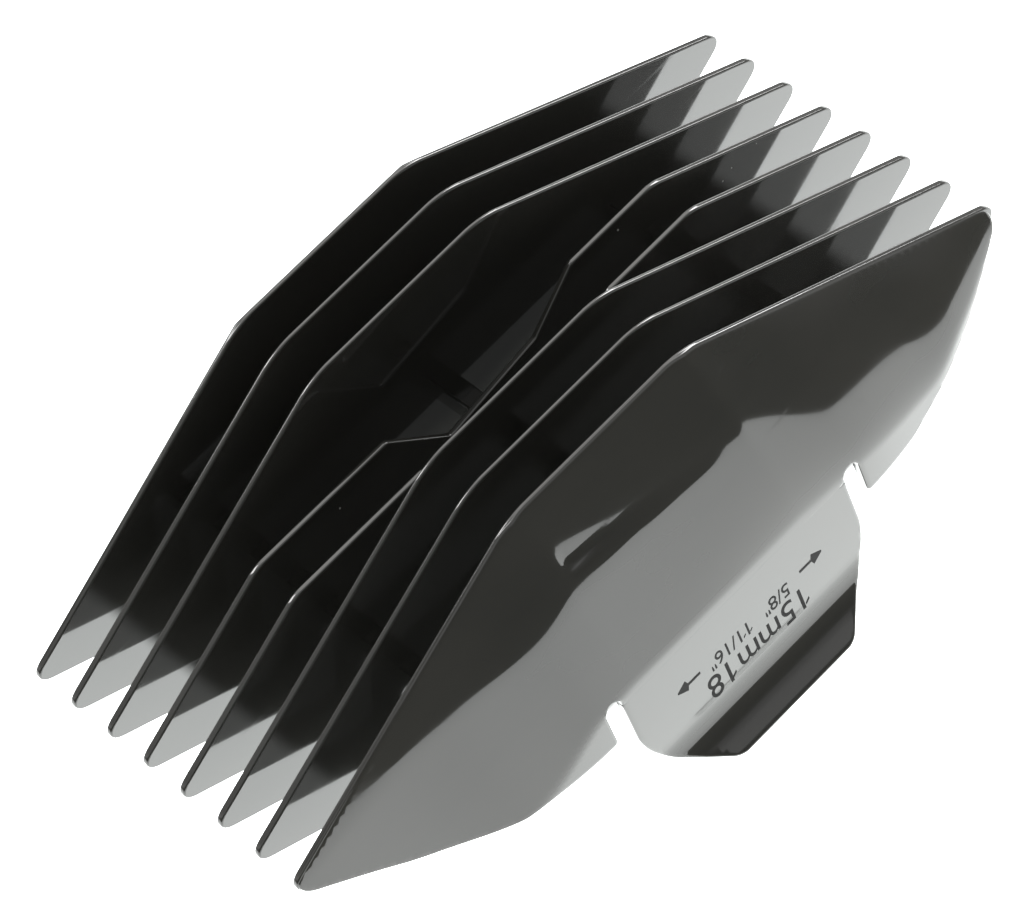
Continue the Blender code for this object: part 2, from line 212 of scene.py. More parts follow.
def moulded_plastic(name):
    """Gloss black plastic straight from a polished mould, with faint flow marks, handling haze and dust."""
    material = bpy.data.materials.new(name)
    material.use_nodes = True
    nodes = material.node_tree.nodes
    links = material.node_tree.links
    shader = nodes["Principled BSDF"]
    shader.inputs["IOR"].default_value = 1.5
    shader.inputs["Coat Weight"].default_value = 0.55
    shader.inputs["Coat Roughness"].default_value = 0.04
    place = nodes.new("ShaderNodeTexCoord")

    def noise(scale, detail, stretch=(1, 1, 1)):
        mapping = nodes.new("ShaderNodeMapping")
        mapping.inputs["Scale"].default_value = stretch
        texture = nodes.new("ShaderNodeTexNoise")
        texture.inputs["Scale"].default_value = scale
        texture.inputs["Detail"].default_value = detail
        links.new(place.outputs["Object"], mapping.inputs["Vector"])
        links.new(mapping.outputs["Vector"], texture.inputs["Vector"])
        return texture.outputs["Fac"]

    def spread(value, low, high, to_low, to_high):
        mapper = nodes.new("ShaderNodeMapRange")
        mapper.inputs["From Min"].default_value = low
        mapper.inputs["From Max"].default_value = high
        mapper.inputs["To Min"].default_value = to_low
        mapper.inputs["To Max"].default_value = to_high
        links.new(value, mapper.inputs["Value"])
        return mapper.outputs["Result"]

    # Dust: a fleck in a few of the cells of a 2.5 mm grid
    cells = nodes.new("ShaderNodeTexVoronoi")
    cells.inputs["Scale"].default_value = 400
    links.new(place.outputs["Object"], cells.inputs["Vector"])
    flecks = spread(cells.outputs["Distance"], 0.035, 0.055, 1, 0)
    rare = spread(cells.outputs["Color"], 0.86, 0.87, 0, 1)
    dust = nodes.new("ShaderNodeMath")
    dust.operation = "MULTIPLY"
    links.new(flecks, dust.inputs[0])
    links.new(rare, dust.inputs[1])

    # Colour: near black, a little browner in the flow marks
    flow = noise(90, 3, (0.35, 1, 1))
    colour = nodes.new("ShaderNodeValToRGB")
    colour.color_ramp.elements[0].position = 0.3
    colour.color_ramp.elements[0].color = (0.0240, 0.0240, 0.0215, 1)
    colour.color_ramp.elements[1].position = 0.7
    colour.color_ramp.elements[1].color = (0.0310, 0.0300, 0.0265, 1)
    links.new(flow, colour.inputs["Fac"])
    dusted = nodes.new("ShaderNodeMix")
    dusted.data_type = "RGBA"
    dusted.inputs["B"].default_value = (0.55, 0.55, 0.52, 1)
    links.new(dust.outputs["Value"], dusted.inputs["Factor"])
    links.new(colour.outputs["Color"], dusted.inputs["A"])
    links.new(dusted.outputs["Result"], shader.inputs["Base Color"])

    # Roughness: patches of handling haze, and hairline scratches along and across the blades
    haze = spread(noise(220, 5), 0.35, 0.75, 0.05, 0.12)
    hairlines = spread(noise(900, 2, (0.03, 1, 1)), 0.68, 0.74, 0, 0.10)
    rough = nodes.new("ShaderNodeMath")
    links.new(haze, rough.inputs[0])
    links.new(hairlines, rough.inputs[1])
    dull = nodes.new("ShaderNodeMath")
    dull.operation = "ADD"
    links.new(rough.outputs["Value"], dull.inputs[0])
    links.new(dust.outputs["Value"], dull.inputs[1])
    links.new(dull.outputs["Value"], shader.inputs["Roughness"])

    # Surface: slow waves where the plastic shrank, and a fine skin from the mould's polish
    waves = nodes.new("ShaderNodeBump")
    waves.inputs["Strength"].default_value = 1.0
    waves.inputs["Distance"].default_value = 0.000012
    links.new(noise(110, 1, (0.6, 1, 1)), waves.inputs["Height"])
    skin = nodes.new("ShaderNodeBump")
    skin.inputs["Strength"].default_value = 1.0
    skin.inputs["Distance"].default_value = 0.0000006
    links.new(noise(2600, 3), skin.inputs["Height"])
    links.new(waves.outputs["Normal"], skin.inputs["Normal"])
    links.new(skin.outputs["Normal"], shader.inputs["Normal"])
    return material


plastic = moulded_plastic("moulded gloss plastic")


def place_blade(pattern, node):
    """A copy of the finished pattern stands in for one CAD blade."""
    low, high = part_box(node)
    blade = bpy.data.objects.new(node.replace("comb_", ""), pattern.data.copy())
    bpy.context.collection.objects.link(blade)
    blade.data.transform(Matrix.Translation((0, (low.y + high.y) / 2, 0)))
    blade.data.materials.append(plastic)
    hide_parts(node)
    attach(blade, "comb")
    return blade


full_blade = blade_outline("full_blade_pattern")
round_off(ridge_left, shoulder_r, 10)
round_off(ridge_right, shoulder_r, 10)
thicken_blade(full_blade)
for number in (1, 2, 5, 6):
    place_blade(full_blade, f"comb_blade_{number}")
for label in ("near", "far"):
    place_blade(full_blade, f"{label}_outer_blade")
bpy.data.objects.remove(full_blade)

# ------------------------------------------------------------------------------------------------------------
# The two middle blades.  Their crown is cut lower than their neighbours' and has a slanting pocket in it,
# which leaves room for a fingertip when the comb is pulled off the clipper.
# ------------------------------------------------------------------------------------------------------------
crown_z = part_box("comb_blade_3")[1].z
crown_left = (-0.0291, crown_z)
crown_right = (0.02545, crown_z)
pocket_left = (-0.01085, crown_z)
pocket_right = (0.0140, crown_z)
pocket_foot_left = (-0.0047, ridge_z - 0.0139)
pocket_foot_right = (0.0074, ridge_z - 0.0122)
pocket_r = 0.0009
crown_r = 0.0040


def beside(p, a, b):
    """Which side of the line from a to b the point is on: positive on the left."""
    return (b[0] - a[0]) * (p.z - a[1]) - (b[1] - a[1]) * (p.x - a[0])


pocket_blade = blade_outline("pocket_blade_pattern")
cut((nose_left[0], crown_z), (nose_right[0], crown_z))
cut(pocket_left, pocket_foot_left, trim=False)
cut(pocket_foot_left, pocket_foot_right, trim=False)
cut(pocket_foot_right, pocket_right, trim=False)
drop(
    lambda p: beside(p, pocket_left, pocket_foot_left) > 0
    and beside(p, pocket_foot_left, pocket_foot_right) > 0
    and beside(p, pocket_foot_right, pocket_right) > 0
)
for corner in (pocket_left, pocket_foot_left, pocket_foot_right, pocket_right):
    round_off(corner, pocket_r, 6)
round_off(crown_left, crown_r, 8)
round_off(crown_right, crown_r, 8)
thicken_blade(pocket_blade)
for node in ("comb_blade_3", "comb_blade_4"):
    place_blade(pocket_blade, node)
bpy.data.objects.remove(pocket_blade)

# ------------------------------------------------------------------------------------------------------------
# Side walls.  From the outer blade on each side a skirt about 1.2 mm thick flares out and down, bowed like a
# hull.  Two round-ended slots cut a spring tab free of it, and a shallow finger rest is sunk into its top.
# ------------------------------------------------------------------------------------------------------------
wall_t = 0.0012
wall_ridge_t = 0.00048  # the wall thins out where it runs into the outer blade
wall_thin_depth = 0.0030
wall_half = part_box("far_spring_tab")[1].y
pitch = 0.0054
ridge_proud = 0.00030
ridge_half = 3.5 * pitch + ridge_proud
foot_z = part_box("near_side_wall")[0].z
foot_r = 0.0040
knee_r = 0.0150
slot_foot_r = 0.0005
foot_left = (-0.0270, foot_z)
foot_right = (0.0292, foot_z)
knee_left = (-0.0368, ridge_z - 0.0225)
knee_right = (0.0358, ridge_z - 0.0220)
bow = (  # X, and half-width of the outer face at the foot
    (nose_left[0], ridge_half),
    (knee_left[0], 0.0232),
    (foot_left[0], 0.0272),
    (-0.0160, wall_half),
    (0.0180, wall_half),
    (foot_right[0], 0.0270),
    (knee_right[0], 0.0250),
    (nose_right[0], ridge_half),
)
flare_end = 0.78
flare_power = 1.5
shoulder_slope = 1.4  # left of the tab: slope above the shoulder, over the mean slope
shoulder_blend = 0.10
tab_low, tab_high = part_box("near_spring_tab")
tab_x = (tab_low.x + tab_high.x) / 2
slot_w = 0.00195
slot_end_r = slot_w * 0.499
hinge_z = ridge_z - 0.0192
seam_z = hinge_z - 0.6 * slot_w  # the wall piece and the tab piece meet here, between the slots
grid = 0.0005
rest_deep = 0.00065
rest_side_x = -0.0115
rest_edge_left = (-0.0101, ridge_z - 0.0070)
rest_edge_right = (0.0055, ridge_z - 0.0086)
rest_blend = 0.0011
rest_end_x = 0.0075


def smooth_through(stations, x):
    """Cubic Hermite curve through the stations, with no overshoot where two neighbours are level."""
    x = min(max(x, stations[0][0]), stations[-1][0])
    slopes = [(b[1] - a[1]) / (b[0] - a[0]) for a, b in zip(stations, stations[1:])]
    tangents = [slopes[0]]
    for a, b in zip(slopes, slopes[1:]):
        tangents.append(0.0 if a * b <= 0 else 2 * a * b / (a + b))
    tangents.append(slopes[-1])
    for i, (a, b) in enumerate(zip(stations, stations[1:])):
        if x <= b[0]:
            span = b[0] - a[0]
            t = (x - a[0]) / span
            level = a[1] * (2 * t**3 - 3 * t**2 + 1) + b[1] * (3 * t**2 - 2 * t**3)
            return level + span * (tangents[i] * (t**3 - 2 * t**2 + t) + tangents[i + 1] * (t**3 - t**2))
    return stations[-1][1]


def ridge_depth(x):
    """Depth of the sharp ridge line below its crown."""
    left = (x - ridge_left[0]) * (nose_left[1] - ridge_z) / (nose_left[0] - ridge_left[0])
    right = (x - ridge_right[0]) * (nose_right[1] - ridge_z) / (nose_right[0] - ridge_right[0])
    return min(0.0, left, right)


def foot_depth(x):
    """Depth of the side wall's lower edge."""
    corners = (nose_left, knee_left, foot_left, foot_right, knee_right, nose_right)
    return smooth_through([(cx, cz - ridge_z) for cx, cz in corners], x)


def ease(t):
    """A smooth step from 0 to 1."""
    t = min(max(t, 0.0), 1.0)
    return t * t * (3 - 2 * t)


def finger_rest(x, z):
    """How far the finger rest is sunk into the wall at a point."""
    side = ease((x - rest_side_x) / rest_blend)
    slope = (rest_edge_right[1] - rest_edge_left[1]) / (rest_edge_right[0] - rest_edge_left[0])
    edge_z = rest_edge_left[1] + slope * (x - rest_edge_left[0])
    foot = ease((z - edge_z) / rest_blend)
    top_z = ridge_z + ridge_depth(x)
    wedge = min(max((top_z - z) / (top_z - edge_z - rest_blend), 0.0), 1.0)
    fade = min(max((rest_end_x - x) / (rest_end_x - rest_edge_left[0]), 0.0), 1.0)
    return rest_deep * side * foot * wedge**3 * fade


def shouldered(share, x):
    """Share of the flare reached at a share of the wall's depth, left of the tab."""
    shoulder = 0.20 + 0.20 * ease((x + 0.032) / 0.018)  # share of the depth at which the slope changes
    skirt_slope = (1 - shoulder_slope * shoulder) / (1 - shoulder)
    bend = min(max((share - shoulder + shoulder_blend) / (2 * shoulder_blend), 0.0), 1.0)
    beyond = max(share - shoulder - shoulder_blend, 0.0)
    change = 2 * shoulder_blend * (bend**3 - bend**4 / 2) + beyond
    return shoulder_slope * share - (shoulder_slope - skirt_slope) * change


def wall_surface(x, z):
    """Distance of the wall's outer face from the comb's middle plane."""
    foot = smooth_through(bow, x)
    fullness = (foot - ridge_half) / (wall_half - ridge_half)
    top = ridge_depth(x)
    share = min(max((top - (z - ridge_z)) / max(top - foot_depth(x), 0.001), 0.0), 1.0)
    early = fullness if x > 0 else ease((x + 0.027) / 0.011)
    share = min(share / (1 - (1 - flare_end) * early), 1.0)
    bowed = 1 - (1 - share) ** (1 + (flare_power - 1) * fullness)
    left = shouldered(share, x)
    reached = left + (bowed - left) * ease((x + 0.010) / 0.030)
    return ridge_half + (foot - ridge_half) * reached - finger_rest(x, z)


tab_half = (tab_high.x - tab_low.x) / 2
slots = ((tab_x - tab_half - slot_w, tab_x - tab_half), (tab_x + tab_half, tab_x + tab_half + slot_w))
wall_sheet = flat_sheet("wall_pattern", (nose_left[0], foot_z), (nose_right[0], ridge_z))
for a, b in (
    (nose_left, ridge_left),
    (ridge_right, nose_right),
    (nose_right, knee_right),
    (foot_left, knee_left),
    (knee_left, nose_left),
):
    cut(a, b)
for low_x, high_x in slots:
    cut((low_x, foot_z), (low_x, ridge_z), trim=False)
    cut((high_x, foot_z), (high_x, ridge_z), trim=False)
cut(knee_right, foot_right, trim=False)
cut((nose_left[0], hinge_z), (nose_right[0], hinge_z), trim=False)
cut((nose_left[0], seam_z), (nose_right[0], seam_z), trim=False)
drop(
    lambda p: any(low_x < p.x < high_x and p.z < hinge_z for low_x, high_x in slots)
    or (slots[0][1] < p.x < slots[1][0] and p.z < seam_z)
    or (p.x < knee_right[0] and beside(p, knee_right, foot_right) > 0)
)
for corner, radius, segments in (
    (ridge_left, shoulder_r, 10),
    (ridge_right, shoulder_r, 10),
    (nose_left, nose_r, 10),
    (nose_right, nose_r, 10),
    (knee_left, knee_r, 8),
    (knee_right, knee_r, 8),
    (foot_left, foot_r, 6),
    (foot_right, foot_r, 6),
    ((slots[0][0], foot_z), slot_foot_r, 5),
    ((slots[1][1], foot_z), slot_foot_r, 5),
    ((slots[0][0], hinge_z), slot_end_r, 7),
    ((slots[0][1], hinge_z), slot_end_r, 7),
    ((slots[1][0], hinge_z), slot_end_r, 7),
    ((slots[1][1], hinge_z), slot_end_r, 7),
):
    round_off(corner, radius, segments)


# ------------------------------------------------------------------------------------------------------------
# Spring tabs and grip lips.  Each tab is the tongue between the two slots of its wall; at its foot the same
# sheet is folded outwards, with a soft fillet, into a tapered lip that a fingertip pulls.
# ------------------------------------------------------------------------------------------------------------
fold_z = ridge_z - 0.03300
lip_out = 0.0036
lip_down = 0.00270
lip_half = 0.00775
lip_length = math.hypot(lip_out, lip_down)
fold_angle = math.atan2(lip_out, lip_down)
fold_r = 0.0045
fold_reach = fold_r * math.tan(fold_angle / 2)
fold_start_z = fold_z + fold_reach
sheet_end_z = fold_start_z - fold_r * fold_angle - (lip_length - fold_reach)
lip_corner_r = 0.0022
taper_r = 0.009384
taper_root = 0.01235
taper_corner = (tab_half, fold_z + 0.0029)

tab_sheet = flat_sheet("tab_pattern", (slots[0][1], sheet_end_z), (slots[1][0], seam_z))
cut((tab_x + taper_corner[0], taper_corner[1]), (tab_x + taper_root, fold_z))
cut((tab_x - taper_root, fold_z), (tab_x - taper_corner[0], taper_corner[1]))
cut((tab_x + taper_root, fold_z), (tab_x + lip_half, sheet_end_z))
cut((tab_x - lip_half, sheet_end_z), (tab_x - taper_root, fold_z))
for side in (-1, 1):
    round_off((tab_x + side * taper_corner[0], taper_corner[1]), taper_r, 14)
    round_off((tab_x + side * lip_half, sheet_end_z), lip_corner_r, 8)


def rim_of(sheets, skip):
    """The boundary edges of the flat sheets as pairs of points, without those for which skip is true."""
    rim = []
    for sheet in sheets:
        verts = sheet.data.vertices
        for edge in sheet.data.edges:
            a, b = [Vector((verts[i].co.x, verts[i].co.z)) for i in edge.vertices]
            if not skip(a, b):
                rim.append((a, b))
    return rim


def off_rim(p, rim):
    """Distance of a flat point from the nearest edge of the rim, or rim_r if it is further away."""
    nearest = rim_r
    for a, b in rim:
        near_x = min(a.x, b.x) - rim_r < p.x < max(a.x, b.x) + rim_r
        near_y = min(a.y, b.y) - rim_r < p.y < max(a.y, b.y) + rim_r
        if near_x and near_y:
            along = b - a
            t = min(max((p - a).dot(along) / along.length_squared, 0.0), 1.0)
            nearest = min(nearest, (p - a - along * t).length)
    return nearest


rim_rings = (0.03, 0.10, 0.25, 0.62)  # widths of the rings that carry the rounding, as shares of rim_r
fold_grid = 0.00022


def ready_sheet(obj, x_step, z_lines):
    """Ring the flat sheet's rim for its rounding, cut it into a grid and give it a second face."""
    open_mesh(obj, "FACE")
    bpy.ops.mesh.select_all(action="SELECT")
    for share in rim_rings:
        bpy.ops.mesh.inset(thickness=share * rim_r, use_boundary=True)
    low = min(v.co.x for v in bmesh.from_edit_mesh(obj.data).verts)
    high = max(v.co.x for v in bmesh.from_edit_mesh(obj.data).verts)
    for k in range(math.ceil(low / x_step), math.floor(high / x_step) + 1):
        cut((k * x_step, 0), (k * x_step, 1), trim=False)
    for z in z_lines:
        cut((0, z), (1, z), trim=False)
    bpy.ops.mesh.select_all(action="SELECT")
    bpy.ops.mesh.extrude_region_move(TRANSFORM_OT_translate={"value": (0, wall_t, 0)})
    bpy.ops.object.mode_set(mode="OBJECT")


def on_seam(a, b):
    """Whether a rim edge lies where the wall piece and the tab piece meet."""
    level = abs(a.y - seam_z) < 1e-6 and abs(b.y - seam_z) < 1e-6
    return level and slots[0][1] - 1e-4 < (a.x + b.x) / 2 < slots[1][0] + 1e-4


def levels(low, high, step):
    """Evenly spaced heights between two, without the ends."""
    count = round((high - low) / step)
    return [low + (high - low) * k / count for k in range(1, count)]


bpy.ops.object.mode_set(mode="OBJECT")
rim = rim_of((wall_sheet, tab_sheet), on_seam)
ready_sheet(wall_sheet, grid, levels(foot_z, ridge_z, grid))
straight_lines = levels(fold_start_z, seam_z, grid)
fold_lines = levels(fold_start_z - fold_r * fold_angle, fold_start_z, fold_grid)
lip_lines = levels(sheet_end_z, fold_start_z - fold_r * fold_angle, grid)
ready_sheet(tab_sheet, grid, straight_lines + fold_lines + lip_lines)


def shaped(pattern, name, side, surface):
    """A copy of the flat pattern laid on a surface, which gives a point of the outer face and the way out."""
    obj = bpy.data.objects.new(name, pattern.data.copy())
    bpy.context.collection.objects.link(obj)
    for v in obj.data.vertices:
        rounding = rim_r - off_rim(Vector((v.co.x, v.co.z)), rim)
        drop_in = rim_r - math.sqrt(max(rim_r**2 - rounding**2, 0.0))
        inner = v.co.y > wall_t / 2
        depth = wall_t - drop_in if inner else drop_in
        half, z, out, up = surface(v.co.x, v.co.z)
        if surface is on_wall and inner:
            below_ridge = ridge_z + ridge_depth(v.co.x) - v.co.z
            depth -= (wall_t - wall_ridge_t) * (1 - ease(below_ridge / wall_thin_depth))
        v.co = (v.co.x, side * (half - depth * out), z - depth * up)
    open_mesh(obj, "FACE")
    bpy.ops.mesh.select_all(action="SELECT")
    bpy.ops.mesh.remove_doubles(threshold=1e-7)
    bpy.ops.mesh.normals_make_consistent(inside=False)
    bpy.ops.mesh.faces_shade_smooth()
    bpy.ops.object.mode_set(mode="OBJECT")
    obj.data.materials.append(plastic)
    return obj


def on_wall(x, z):
    return wall_surface(x, z), z, 1, 0


def on_tab(x, z):
    """Straight down the tab, round the fillet and out along the lip."""
    run = fold_start_z - z
    if run <= 0:
        return wall_half, z, 1, 0
    turn = min(run / fold_r, fold_angle)
    rest = run - fold_r * turn
    out = fold_r * (1 - math.cos(turn)) + rest * math.sin(turn)
    down = fold_r * math.sin(turn) + rest * math.cos(turn)
    return wall_half + out, fold_start_z - down, math.cos(turn), math.sin(turn)


for label, side in (("near", -1), ("far", 1)):
    wall = shaped(wall_sheet, f"{label}_wall", side, on_wall)
    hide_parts(f"{label}_side_wall")
    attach(wall, "comb")
    tab = shaped(tab_sheet, f"{label}_tab_and_lip", side, on_tab)
    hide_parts(f"{label}_spring_tab", f"{label}_grip_lip")
    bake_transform(tab)
bpy.data.objects.remove(wall_sheet)
bpy.data.objects.remove(tab_sheet)

# ------------------------------------------------------------------------------------------------------------
# Catch ridges.  A rounded bar inside each tab, moulded in one with it, snaps under the edge of the
# clipper's head.
# ------------------------------------------------------------------------------------------------------------
crest_long = 0.94  # size of the crest over that of the bar's back
crest_tall = 0.46
crest_r = 0.0002
sunk_in = 0.0002  # how far the bar's back is inside the tab
for label, side in (("near", -1), ("far", 1)):
    low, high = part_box(f"{label}_catch_ridge")
    back = wall_half - wall_t + sunk_in
    front = min(abs(low.y), abs(high.y))
    deselect()
    middle = ((low.x + high.x) / 2, side * (back + front) / 2, (low.z + high.z) / 2)
    bpy.ops.mesh.primitive_cube_add(size=1, location=middle)
    catch = bpy.context.object
    catch.name = catch.data.name = f"{label}_catch"
    catch.scale = (high.x - low.x, back - front, high.z - low.z)
    bpy.ops.object.transform_apply(location=True, rotation=True, scale=True)
    open_mesh(catch)
    pick("faces", lambda face: face.normal.y * side < -0.9)
    crest_middle = ((low.x + high.x) / 2, side * front, (low.z + high.z) / 2)
    bpy.ops.transform.resize(value=(crest_long, 1, crest_tall), center_override=crest_middle)
    pick("edges", lambda e: any(abs(v.co.y - side * front) < 1e-6 for v in e.verts))
    bpy.ops.mesh.bevel(offset=crest_r, affect="EDGES", segments=3, clamp_overlap=False)
    bpy.ops.object.mode_set(mode="OBJECT")
    smooth(catch)
    catch.data.materials.append(plastic)
    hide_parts(f"{label}_catch_ridge")
    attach(catch, f"{label}_tab")

# ------------------------------------------------------------------------------------------------------------
# Cross ribs.  Three drafted bars run across through the blades' undersides and tie them to each other and to
# the side walls.  The clipper's head rests on their feet.
# ------------------------------------------------------------------------------------------------------------
rib_root_z = ridge_z - 0.0181  # inside the blades, which it is moulded into
rib_foot_w = 0.86  # width of the foot over that of the root
rib_r = 0.00035
for name in ("cross_rib_left", "cross_rib_middle", "cross_rib_right"):
    low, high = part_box(name)
    middle = (low + high) / 2
    reach = high.y - low.y + wall_t
    deselect()
    bpy.ops.mesh.primitive_cube_add(size=1, location=(middle.x, 0, (low.z + rib_root_z) / 2))
    rib = bpy.context.object
    rib.name = rib.data.name = name.replace("cross_rib", "rib")
    rib.scale = (high.x - low.x, reach, rib_root_z - low.z)
    bpy.ops.object.transform_apply(location=True, rotation=True, scale=True)
    open_mesh(rib)
    pick("faces", lambda face: face.normal.z < -0.9)
    bpy.ops.transform.resize(value=(rib_foot_w, 1, 1), center_override=(middle.x, 0, low.z))
    pick("edges", lambda e: abs((e.verts[0].co - e.verts[1].co).normalized().y) > 0.99)
    bpy.ops.mesh.bevel(offset=rib_r, affect="EDGES", segments=4, clamp_overlap=False)
    bpy.ops.object.mode_set(mode="OBJECT")
    smooth(rib)
    rib.data.materials.append(plastic)
    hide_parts(name)
    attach(rib, "comb")

# ------------------------------------------------------------------------------------------------------------
# Printed legend on the near tab.  It gives the cutting length at each end of the comb, in millimetres and in
# inches, with an arrow to each end.  It is pad-printed in matt black and reads with the comb ridge down.
# ------------------------------------------------------------------------------------------------------------
ink = bpy.data.materials.new("legend ink")
ink.use_nodes = True
ink_nodes = ink.node_tree.nodes
ink_shader = ink_nodes["Principled BSDF"]
ink_shader.inputs["Specular IOR Level"].default_value = 0.15
ink_place = ink_nodes.new("ShaderNodeTexCoord")
ink_grain = ink_nodes.new("ShaderNodeTexNoise")
ink_grain.inputs["Scale"].default_value = 6000
ink_tone = ink_nodes.new("ShaderNodeMapRange")
ink_tone.inputs["To Min"].default_value = 0.6
ink_tone.inputs["To Max"].default_value = 0.9
ink_colour = ink_nodes.new("ShaderNodeValToRGB")
ink_colour.color_ramp.elements[0].color = (0.010, 0.010, 0.010, 1)
ink_colour.color_ramp.elements[1].color = (0.030, 0.030, 0.030, 1)
ink.node_tree.links.new(ink_place.outputs["Object"], ink_grain.inputs["Vector"])
ink.node_tree.links.new(ink_grain.outputs["Fac"], ink_tone.inputs["Value"])
ink.node_tree.links.new(ink_tone.outputs["Result"], ink_shader.inputs["Roughness"])
ink.node_tree.links.new(ink_grain.outputs["Fac"], ink_colour.inputs["Fac"])
ink.node_tree.links.new(ink_colour.outputs["Color"], ink_shader.inputs["Base Color"])

print_t = 0.00002
# The print reads along -X, stands upright along -Z and faces -Y
print_facing = Matrix(((-1, 0, 0), (0, 0, -1), (0, -1, 0))).to_4x4()
legend = (  # words, X of the middle, depth of the middle, letter height
    ("15", 0.00605, 0.0291, 0.0032),
    ("mm", 0.00120, 0.0295, 0.0032),
    ("18", -0.00385, 0.0291, 0.0032),
    ("5/8\"", 0.00455, 0.0261, 0.0019),
    ("11/16\"", -0.00170, 0.0261, 0.0019),
)
letter_width = 0.84


def print_on_tab(obj, x, depth):
    """Lay a flat shape, made round the origin, on the near tab's outer face and let it ride with the tab."""
    obj.data.transform(Matrix.Translation((x, -wall_half - print_t / 2, ridge_z - depth)) @ print_facing)
    obj.data.materials.clear()
    obj.data.materials.append(ink)
    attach(obj, "near_tab")


for words, x, depth, height in legend:
    deselect()
    bpy.ops.object.text_add()
    text = bpy.context.object
    text.data.body = words
    text.data.size = height / 0.70
    text.data.space_character = 0.95
    text.data.align_x = "CENTER"
    text.data.align_y = "CENTER"
    text.data.extrude = print_t / 2
    text.data.resolution_u = 6
    bpy.ops.object.convert(target="MESH")
    text.data.transform(Matrix.Diagonal((letter_width, 1, 1, 1)))
    text.name = text.data.name = "legend_" + words.replace("/", "_").replace("\"", "_in")
    open_mesh(text)
    bpy.ops.mesh.select_all(action="SELECT")
    bpy.ops.mesh.remove_doubles(threshold=1e-7)
    bpy.ops.mesh.normals_make_consistent(inside=False)
    bpy.ops.object.mode_set(mode="OBJECT")
    print_on_tab(text, x, depth)

# The figure 1 is a bare stroke in this lettering, so it gets the short flag of the printed one
for name, x, depth, tall in (
    ("legend_flag_15", 0.00740, 0.0291, 0.0032),
    ("legend_flag_18", -0.00262, 0.0291, 0.0032),
    ("legend_flag_11_a", 0.00085, 0.0261, 0.0019),
    ("legend_flag_11_b", -0.00005, 0.0261, 0.0019),
):
    deselect()
    bpy.ops.mesh.primitive_plane_add(size=1)
    flag = bpy.context.object
    flag.name = flag.data.name = name
    flag.scale = (0.17 * tall, 0.09 * tall, 1)
    bpy.ops.object.transform_apply(location=True, rotation=True, scale=True)
    open_mesh(flag)
    pick("verts", lambda v: v.co.x < 0)
    bpy.ops.transform.translate(value=(0, -0.14 * tall, 0))
    bpy.ops.mesh.select_all(action="SELECT")
    bpy.ops.transform.translate(value=(-0.04 * tall, 0.40 * tall, -print_t / 2))
    bpy.ops.mesh.extrude_region_move(TRANSFORM_OT_translate={"value": (0, 0, print_t)})
    bpy.ops.mesh.select_all(action="SELECT")
    bpy.ops.mesh.normals_make_consistent(inside=False)
    bpy.ops.object.mode_set(mode="OBJECT")
    print_on_tab(flag, x, depth)

shaft_long = 0.0016
shaft_w = 0.00034
head_step = 0.0002
head_long = 0.0012
head_w = 4.6  # times the shaft's
point_w = 0.12  # times the head's
arrow_depth = 0.0257
for end, x in ((1, 0.00865), (-1, -0.00650)):
    deselect()
    bpy.ops.mesh.primitive_plane_add(size=1)
    arrow = bpy.context.object
    arrow.name = arrow.data.name = "legend_arrow_right" if end > 0 else "legend_arrow_left"
    arrow.scale = (shaft_long, shaft_w, 1)
    bpy.ops.object.transform_apply(location=True, rotation=True, scale=True)
    open_mesh(arrow)
    pick("edges", lambda e: all(v.co.x * end < -0.4 * shaft_long for v in e.verts))
    bpy.ops.mesh.extrude_region_move(TRANSFORM_OT_translate={"value": (-head_step * end, 0, 0)})
    bpy.ops.transform.resize(value=(1, head_w, 1))
    bpy.ops.mesh.extrude_region_move(TRANSFORM_OT_translate={"value": (-head_long * end, 0, 0)})
    bpy.ops.transform.resize(value=(1, point_w, 1))
    bpy.ops.mesh.select_all(action="SELECT")
    bpy.ops.mesh.extrude_region_move(TRANSFORM_OT_translate={"value": (0, 0, print_t)})
    bpy.ops.mesh.select_all(action="SELECT")
    bpy.ops.transform.translate(value=(0, 0, -print_t / 2))
    bpy.ops.mesh.normals_make_consistent(inside=False)
    bpy.ops.object.mode_set(mode="OBJECT")
    print_on_tab(arrow, x, arrow_depth)

# ------------------------------------------------------------------------------------------------------------
# Stage.  A pale table that glows softly, a painted glow brightest round the comb, except for the painted
# shade right under the comb, in a dim room whose light comes from above and behind, and from two soft lamps.
# ------------------------------------------------------------------------------------------------------------
bpy.ops.object.select_all(action="DESELECT")
bpy.ops.mesh.primitive_circle_add(vertices=128, radius=1.2, fill_type="NGON", location=(0, 0, 0))
table = bpy.context.object
table.name = table.data.name = "pale_table"
top = bpy.data.materials.new("pale table top")
top.use_nodes = True
nodes = top.node_tree.nodes
links = top.node_tree.links
shader = nodes["Principled BSDF"]
shader.inputs["Roughness"].default_value = 0.9
shader.inputs["Emission Color"].default_value = (0.965, 1.0, 0.985, 1)
place = nodes.new("ShaderNodeTexCoord")
axes = nodes.new("ShaderNodeSeparateXYZ")
links.new(place.outputs["Object"], axes.inputs["Vector"])


def sum_node(operation, a, b=None):
    """A Math node on two values, each a number or another node's output."""
    node = nodes.new("ShaderNodeMath")
    node.operation = operation
    for socket, value in zip(node.inputs, (a, b)):
        if isinstance(value, (int, float)):
            socket.default_value = value
        elif value is not None:
            links.new(value, socket)
    return node.outputs["Value"]


def soft_edge(value, start, end):
    """0 below start and 1 above end, with a smooth step between."""
    node = nodes.new("ShaderNodeMapRange")
    node.interpolation_type = "SMOOTHSTEP"
    node.inputs["From Min"].default_value = start
    node.inputs["From Max"].default_value = end
    links.new(value, node.inputs["Value"])
    return node.outputs["Result"]
